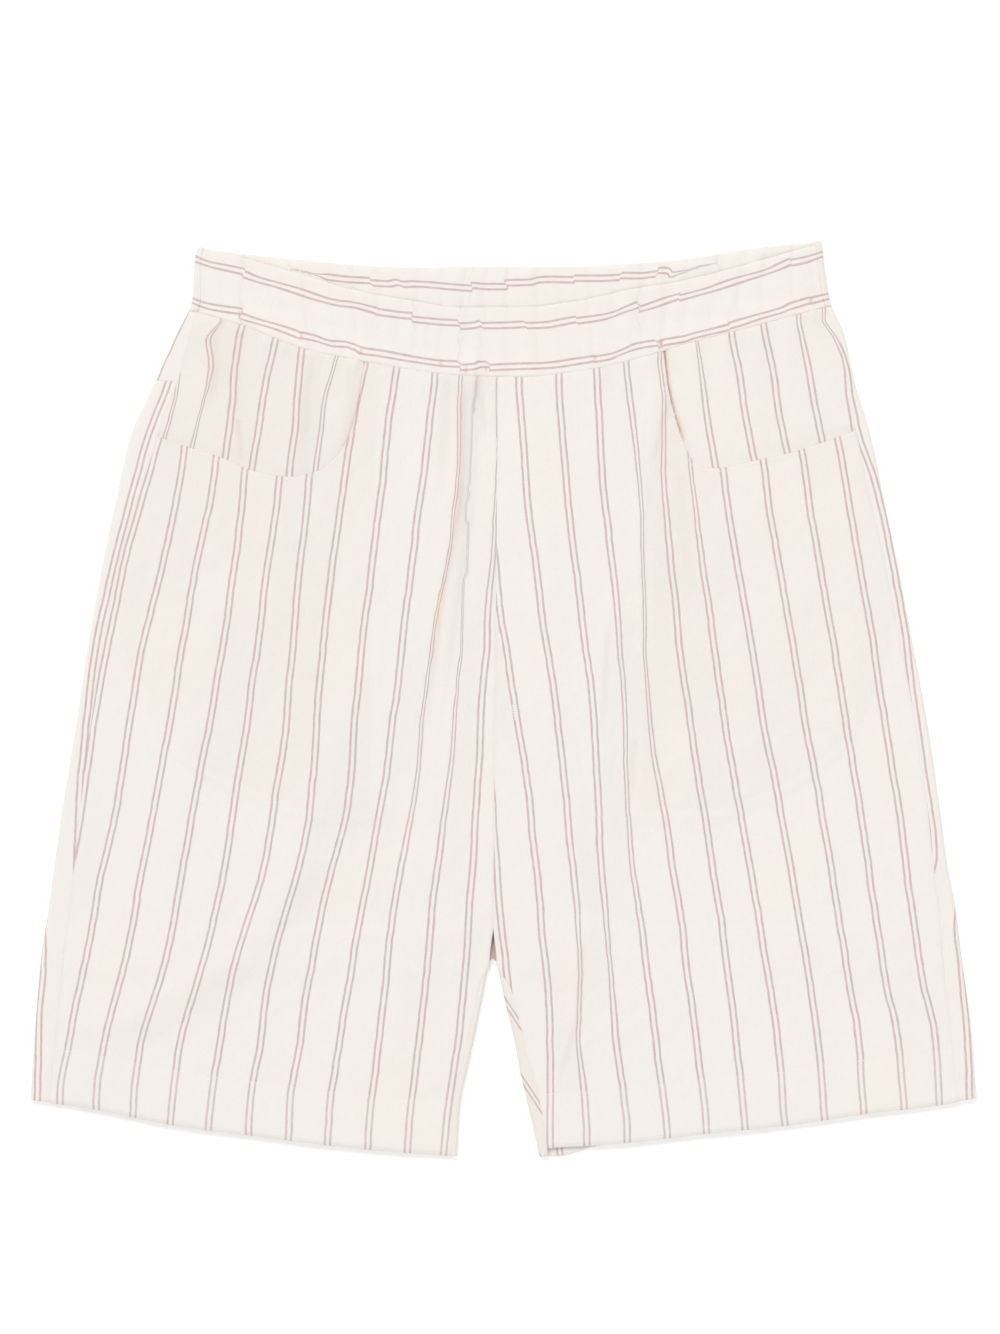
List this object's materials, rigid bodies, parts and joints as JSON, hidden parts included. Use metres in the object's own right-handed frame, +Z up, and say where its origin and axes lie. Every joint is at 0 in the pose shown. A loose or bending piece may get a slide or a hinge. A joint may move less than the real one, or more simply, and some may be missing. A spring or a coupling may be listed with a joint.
{
  "type": "bermuda shorts",
  "caption": "Knee-length striped shorts with an elastic waistband and scooped front pockets, laid flat with the legs slightly apart.",
  "frame": {"origin": "middle of the footprint, on the surface the shorts lie on", "axes": "+X across the shorts towards the viewer's right, +Y from the hems towards the waistband, +Z up from the surface, towards the front of the shorts"},
  "size_m": [0.5111, 0.4938, 0.008],
  "materials": {
    "cloth": "matte plain-weave cotton, off-white with thin dusty pink stripes in pairs",
    "band_cloth": "matte plain-weave cotton gathered on elastic"
  },
  "bodies": {
    "root": {"front_panel_left": "cloth", "front_panel_right": "cloth", "back_panel_left": "cloth", "back_panel_right": "cloth", "hip_piece_left": "cloth", "hip_piece_right": "cloth", "waistband_front": "band_cloth", "waistband_back": "band_cloth"}
  },
  "joints": []
}
